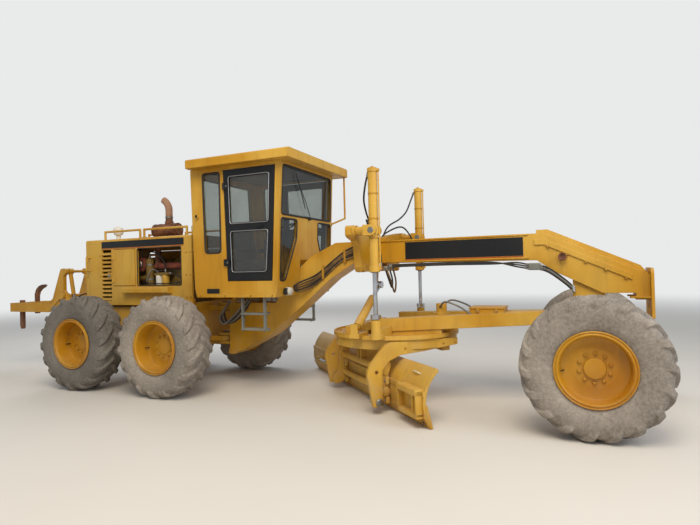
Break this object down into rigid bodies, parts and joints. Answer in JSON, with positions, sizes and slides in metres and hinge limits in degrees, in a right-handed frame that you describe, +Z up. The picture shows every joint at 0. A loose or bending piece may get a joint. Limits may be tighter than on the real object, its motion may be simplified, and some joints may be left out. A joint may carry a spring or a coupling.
{
  "type": "motor grader",
  "caption": "Articulated motor grader with tandem rear wheels, leaning and steered front wheels, turnable side-shifting blade, glazed cab, open engine bay and rear ripper.",
  "frame": {"origin": "ground plane below the middle of the machine's box, between the wheels", "axes": "+X forward, +Y to the machine's left, +Z up; wheels stand on Z = 0"},
  "size_m": [10.0179, 2.7212, 3.1299],
  "materials": {
    "yellow": "sun-faded yellow paint",
    "tyre": "dusty rubber",
    "chrome": "polished rod",
    "worn_steel": "rusty and worn",
    "rust": "rust-brown",
    "engine": "dull yellow casting",
    "white_plastic": "dull white",
    "glass": "clear",
    "black_paint": "satin black",
    "upholstery": "worn dark cloth",
    "black_plastic": "matt black",
    "tread_metal": "worn grey paint",
    "steel": "bare steel"
  },
  "bodies": {
    "rear": {"rear_frame": "yellow", "rear_axle": "yellow", "tandem_cases": "yellow", "engine": "engine", "hood": "yellow", "exhaust": "rust", "air_intake": "white_plastic", "handrails": "yellow", "ripper_mount": "yellow"},
    "engine_door_right": {"engine_door_right": "yellow"},
    "engine_door_left": {"engine_door_left": "yellow"},
    "ripper": {"ripper_frame": "yellow", "ripper_shanks": "worn_steel"},
    "ripper_barrel": {"ripper_barrel": "yellow"},
    "ripper_rod": {"ripper_rod": "chrome"},
    "wheel_rear_right": {"wheel_rear_right": "tyre"},
    "wheel_rear_left": {"wheel_rear_left": "tyre"},
    "wheel_middle_right": {"wheel_middle_right": "tyre"},
    "wheel_middle_left": {"wheel_middle_left": "tyre"},
    "front": {"front_frame": "yellow", "lift_arms": "yellow", "lift_barrel_right": "yellow", "lift_barrel_left": "yellow", "cab_shell": "yellow", "cab_roof": "yellow", "cab_glass": "glass", "seat": "upholstery", "controls": "black_plastic", "steps": "tread_metal", "front_axle": "yellow"},
    "lift_rod_right": {"lift_rod_right": "chrome"},
    "lift_rod_left": {"lift_rod_left": "chrome"},
    "cab_door_right": {"cab_door_right": "black_paint"},
    "cab_door_left": {"cab_door_left": "black_paint"},
    "lean_right": {"lean_knuckle_right": "yellow"},
    "lean_left": {"lean_knuckle_left": "yellow"},
    "steer_right": {"spindle_right": "yellow"},
    "steer_left": {"spindle_left": "yellow"},
    "wheel_front_right": {"wheel_front_right": "tyre"},
    "wheel_front_left": {"wheel_front_left": "tyre"},
    "lean_bar": {"lean_bar": "yellow"},
    "tie_stud": {"tie_stud": "steel"},
    "tie_rod": {"tie_rod": "yellow"},
    "drawbar": {"drawbar": "yellow"},
    "circle": {"circle_ring": "yellow"},
    "tilt": {"tilt_bracket": "yellow", "shift_barrel": "yellow"},
    "blade": {"moldboard": "yellow", "shift_rod": "chrome"},
    "tip_barrel": {"tip_barrel": "yellow"},
    "tip_rod": {"tip_rod": "chrome"},
    "centre_barrel": {"centre_barrel": "yellow"},
    "centre_rod": {"centre_rod": "chrome"}
  },
  "joints": [
    {"name": "articulation", "type": "hinge", "parent": "rear", "child": "front", "pos_m": [-0.574, -0.04252, 0.85], "axis": [0, 0, 1], "range_deg": [-20, 20]},
    {"name": "spin_rear_right", "type": "hinge", "parent": "rear", "child": "wheel_rear_right", "pos_m": [-2.336, -1.06752, 0.665], "axis": [0, 1, 0], "continuous": true},
    {"name": "spin_rear_left", "type": "hinge", "parent": "rear", "child": "wheel_rear_left", "pos_m": [-2.336, 0.98248, 0.665], "axis": [0, 1, 0], "continuous": true},
    {"name": "spin_middle_right", "type": "hinge", "parent": "rear", "child": "wheel_middle_right", "pos_m": [-0.812, -1.06752, 0.665], "axis": [0, 1, 0], "continuous": true},
    {"name": "spin_middle_left", "type": "hinge", "parent": "rear", "child": "wheel_middle_left", "pos_m": [-0.812, 0.98248, 0.665], "axis": [0, 1, 0], "continuous": true},
    {"name": "door_engine_right", "type": "hinge", "parent": "rear", "child": "engine_door_right", "pos_m": [-2.296, -0.55302, 1.73], "axis": [0, 0, -1], "range_deg": [0, 100]},
    {"name": "door_engine_left", "type": "hinge", "parent": "rear", "child": "engine_door_left", "pos_m": [-2.296, 0.46798, 1.73], "axis": [0, 0, 1], "range_deg": [0, 100]},
    {"name": "ripper_lift", "type": "hinge", "parent": "rear", "child": "ripper", "pos_m": [-3.694, -0.04252, 1.285], "axis": [0, 1, 0], "range_deg": [-30, 4]},
    {"name": "ripper_barrel_swing", "type": "hinge", "parent": "rear", "child": "ripper_barrel", "pos_m": [-3.69, -0.04252, 1.7], "axis": [0, 1, 0], "range_deg": [-8.24, 1.62]},
    {"name": "ripper_stroke", "type": "slide", "parent": "ripper_barrel", "child": "ripper_rod", "axis": [0.1841, 0, -0.9829], "range_m": [-0.0591, 0.0086]},
    {"name": "cab_door_right_swing", "type": "hinge", "parent": "front", "child": "cab_door_right", "pos_m": [0.002, -0.81652, 2.2], "axis": [0, 0, -1], "range_deg": [0, 165]},
    {"name": "cab_door_left_swing", "type": "hinge", "parent": "front", "child": "cab_door_left", "pos_m": [0.002, 0.73148, 2.2], "axis": [0, 0, 1], "range_deg": [0, 165]},
    {"name": "lean_left", "type": "hinge", "parent": "front", "child": "lean_left", "pos_m": [4.344, 0.59748, 0.54], "axis": [1, 0, 0], "range_deg": [-18, 18]},
    {"name": "lean_right", "type": "hinge", "parent": "front", "child": "lean_right", "pos_m": [4.344, -0.68252, 0.54], "axis": [1, 0, 0], "range_deg": [-18.5, 18.5]},
    {"name": "lean_bar_swing", "type": "hinge", "parent": "lean_left", "child": "lean_bar", "pos_m": [4.459, 0.59748, 0.9], "axis": [1, 0, 0], "range_deg": [-18.5, 18.5]},
    {"name": "steer_left", "type": "hinge", "parent": "lean_left", "child": "steer_left", "pos_m": [4.344, 0.73748, 0.665], "axis": [0, 0, 1], "range_deg": [-50, 50]},
    {"name": "steer_right", "type": "hinge", "parent": "lean_right", "child": "steer_right", "pos_m": [4.344, -0.82252, 0.665], "axis": [0, 0, 1], "range_deg": [-50.5, 50.5]},
    {"name": "tie_stud_turn", "type": "hinge", "parent": "steer_left", "child": "tie_stud", "pos_m": [4.144, 0.73748, 0.373], "axis": [0, 0, 1], "range_deg": [-50.5, 50.5]},
    {"name": "tie_rod_swing", "type": "hinge", "parent": "tie_stud", "child": "tie_rod", "pos_m": [4.144, 0.73748, 0.373], "axis": [1, 0, 0], "range_deg": [-18.5, 18.5]},
    {"name": "spin_front_right", "type": "hinge", "parent": "steer_right", "child": "wheel_front_right", "pos_m": [4.344, -1.06752, 0.665], "axis": [0, 1, 0], "continuous": true},
    {"name": "spin_front_left", "type": "hinge", "parent": "steer_left", "child": "wheel_front_left", "pos_m": [4.344, 0.98248, 0.665], "axis": [0, 1, 0], "continuous": true},
    {"name": "drawbar_lift", "type": "hinge", "parent": "front", "child": "drawbar", "pos_m": [4.066, -0.04252, 1.03], "axis": [0, -1, 0], "range_deg": [-14, 15]},
    {"name": "lift_stroke_right", "type": "slide", "parent": "front", "child": "lift_rod_right", "axis": [0, 0, -1], "range_m": [-0.475, 0.51]},
    {"name": "lift_stroke_left", "type": "slide", "parent": "front", "child": "lift_rod_left", "axis": [0, 0, -1], "range_m": [-0.475, 0.51]},
    {"name": "circle_turn", "type": "hinge", "parent": "drawbar", "child": "circle", "pos_m": [2.066, -0.04252, 0.74], "axis": [0, 0, 1], "range_deg": [-75, 20]},
    {"name": "blade_tip", "type": "hinge", "parent": "circle", "child": "tilt", "pos_m": [1.65234, -0.45617, 0.135], "axis": [-0.7071, 0.7071, 0], "range_deg": [-5, 35]},
    {"name": "side_shift", "type": "slide", "parent": "tilt", "child": "blade", "axis": [-0.7071, 0.7071, 0], "range_m": [-1.046, 0.12]},
    {"name": "tip_barrel_swing", "type": "hinge", "parent": "circle", "child": "tip_barrel", "pos_m": [2.30642, 0.1979, 0.58], "axis": [-0.7071, 0.7071, 0], "range_deg": [-11.25, 2.2]},
    {"name": "tip_stroke", "type": "slide", "parent": "tip_barrel", "child": "tip_rod", "axis": [-0.7019, -0.7019, 0.1211], "range_m": [-0.3376, 0.057]},
    {"name": "centre_barrel_swing", "type": "hinge", "parent": "drawbar", "child": "centre_barrel", "pos_m": [1.866, -0.83252, 0.95], "axis": [0.8441, 0.5287, 0.0895], "range_deg": [-30.81, 33.02]},
    {"name": "centre_stroke", "type": "slide", "parent": "centre_barrel", "child": "centre_rod", "axis": [0, 0.8642, 0.5032], "range_m": [-0.2436, 0.2611]}
  ],
  "couplings": [
    {"joint": "ripper_barrel_swing", "follows": "ripper_lift", "ratio": 0.2543},
    {"joint": "ripper_stroke", "follows": "ripper_lift", "m_per_rad": 0.10264},
    {"joint": "lean_right", "follows": "lean_left", "ratio": 1},
    {"joint": "lean_bar_swing", "follows": "lean_left", "ratio": -1},
    {"joint": "steer_right", "follows": "steer_left", "ratio": 1},
    {"joint": "tie_stud_turn", "follows": "steer_left", "ratio": -1},
    {"joint": "tie_rod_swing", "follows": "lean_left", "ratio": -0.823},
    {"joint": "lift_stroke_right", "follows": "drawbar_lift", "m_per_rad": 1.905},
    {"joint": "lift_stroke_left", "follows": "drawbar_lift", "m_per_rad": 1.905},
    {"joint": "tip_barrel_swing", "follows": "blade_tip", "ratio": -0.2921},
    {"joint": "tip_stroke", "follows": "blade_tip", "m_per_rad": -0.50238},
    {"joint": "centre_barrel_swing", "follows": "drawbar_lift", "ratio": 2.1793},
    {"joint": "centre_stroke", "follows": "drawbar_lift", "m_per_rad": 0.98727}
  ]
}
